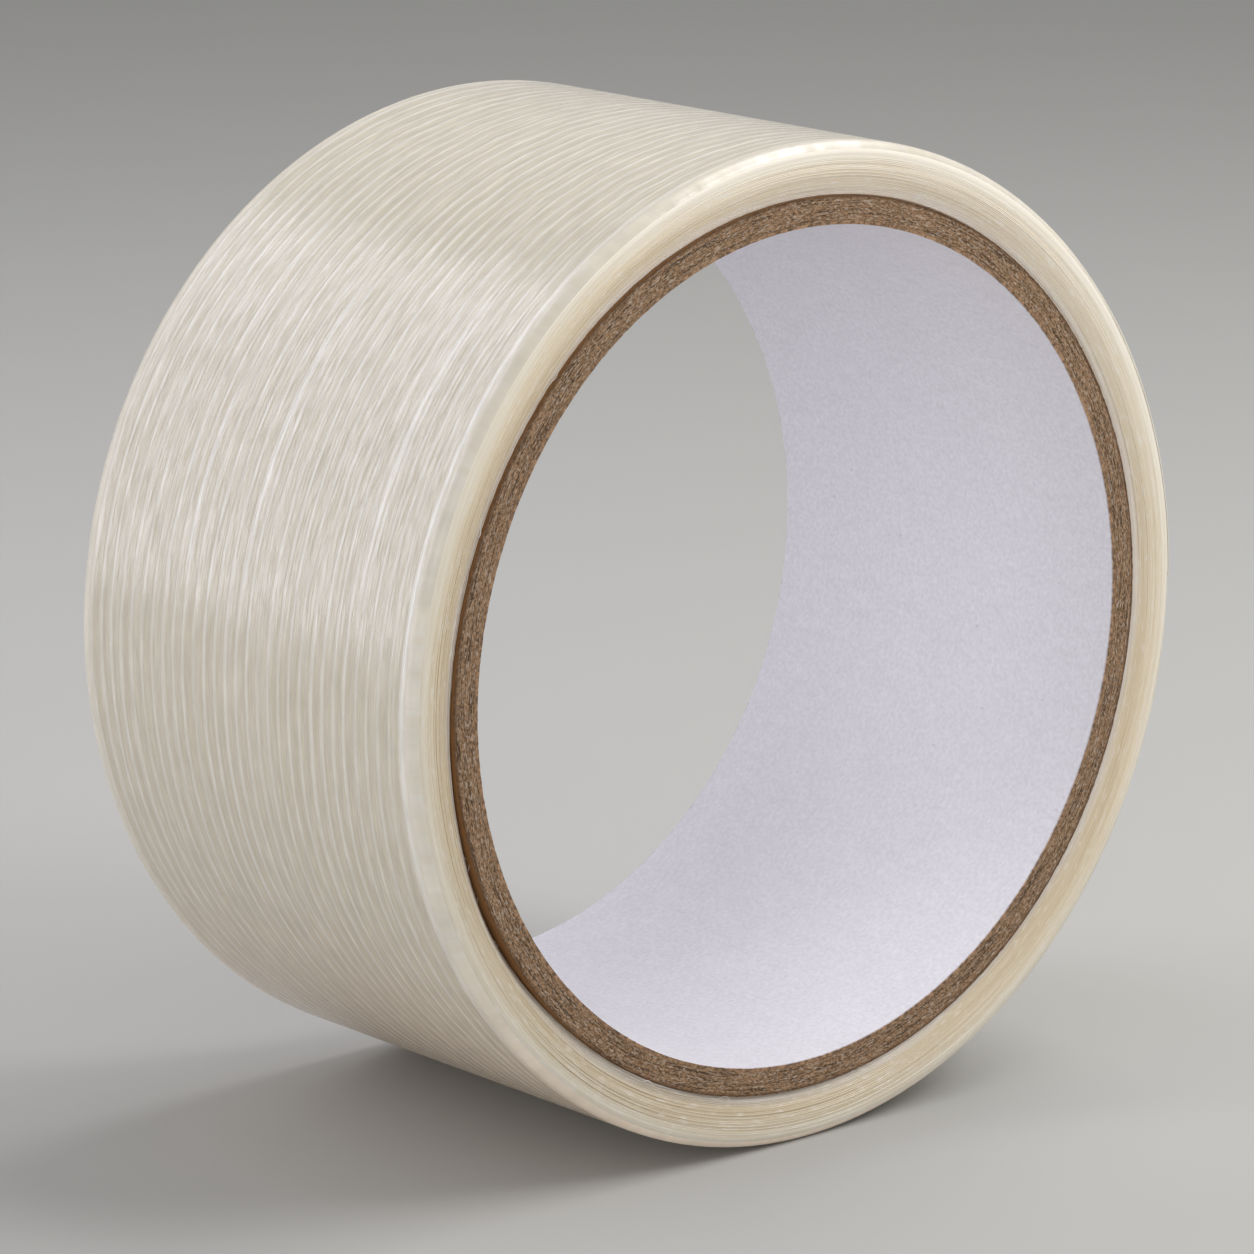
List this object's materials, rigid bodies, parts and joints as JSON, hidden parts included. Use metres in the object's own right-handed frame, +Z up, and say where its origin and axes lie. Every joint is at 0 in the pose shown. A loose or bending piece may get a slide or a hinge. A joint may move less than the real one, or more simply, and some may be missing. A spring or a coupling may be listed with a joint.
{
  "type": "roll of filament tape",
  "caption": "Roll of ribbed glass-filament strapping tape wound on a white-lined kraft paperboard core, with a free end that peels back.",
  "frame": {"origin": "on the roll's axis, midway between the two side crests of the wound tape", "axes": "+Y along the roll's axis towards its back, +Z up, the side shown in the picture faces -Y"},
  "size_m": [0.0912, 0.048, 0.0911],
  "materials": {
    "liner_paper": "matte white paper",
    "kraft_board": "cut kraft board",
    "wound_tape": "cream wound tape edges",
    "adhesive": "clear amber pressure-sensitive adhesive",
    "glass_yarn": "white glass filament yarn",
    "backing_film": "satin clear polyester film over yarn ribs"
  },
  "bodies": {
    "roll": {"core_liner": "liner_paper", "core_ply_1": "kraft_board", "core_ply_2": "kraft_board", "core_ply_3": "kraft_board", "core_ply_4": "kraft_board", "inner_turns": "wound_tape", "outer_turn_adhesive": "adhesive", "outer_turn_yarns": "glass_yarn", "outer_turn_film": "backing_film"},
    "free_end": {"free_end_adhesive": "adhesive", "free_end_yarns": "glass_yarn", "free_end_film": "backing_film"}
  },
  "joints": [
    {"name": "free_end_peel", "type": "hinge", "parent": "roll", "child": "free_end", "pos_m": [0.03618, 0, 0.02787], "axis": [0, -1, 0], "range_deg": [0, 150]}
  ]
}
